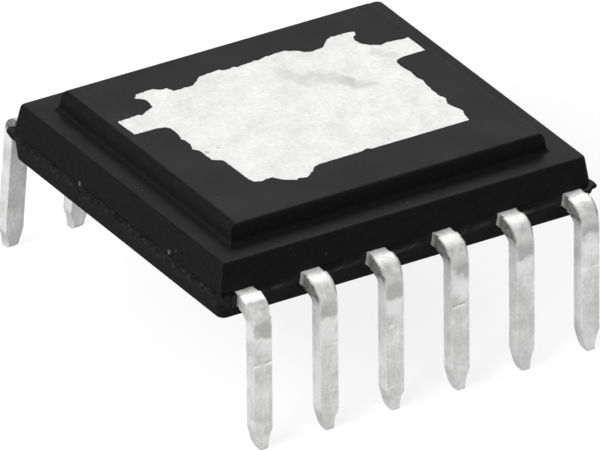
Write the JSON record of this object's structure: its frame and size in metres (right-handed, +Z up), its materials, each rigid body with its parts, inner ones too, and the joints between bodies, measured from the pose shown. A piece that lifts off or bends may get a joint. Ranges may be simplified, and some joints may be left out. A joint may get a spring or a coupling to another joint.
{
  "type": "switching regulator",
  "caption": "Moulded power converter chip with a bare metal pad on its raised top for a heat sink and two rows of bent leads that go through a circuit board.",
  "frame": {"origin": "middle of the body in plan, at the level of the lead tips", "axes": "+X along the lead rows, +Y from the row of six leads to the row of five, +Z up through the bare pad"},
  "size_m": [0.0104, 0.011, 0.0049],
  "materials": {
    "epoxy": "black moulded epoxy with a fine matt mould texture",
    "tinned_copper": "matt tin plating over copper, rubbed bright on the bends",
    "silicon": "polished silicon",
    "solder": "reflowed solder",
    "gold_wire": "drawn gold",
    "copper_wire": "drawn copper"
  },
  "bodies": {
    "root": {"moulded_body": "epoxy", "source_frame": "tinned_copper", "control_lead_1": "tinned_copper", "control_lead_2": "tinned_copper", "control_lead_3": "tinned_copper", "control_lead_4": "tinned_copper", "drain_lead": "tinned_copper", "silicon_die": "silicon", "die_attach": "solder", "control_wire_1": "gold_wire", "control_wire_2": "gold_wire", "control_wire_3": "gold_wire", "control_wire_4": "gold_wire", "drain_wire_1": "copper_wire", "drain_wire_2": "copper_wire", "source_wire_1": "copper_wire", "source_wire_2": "copper_wire"}
  },
  "joints": []
}
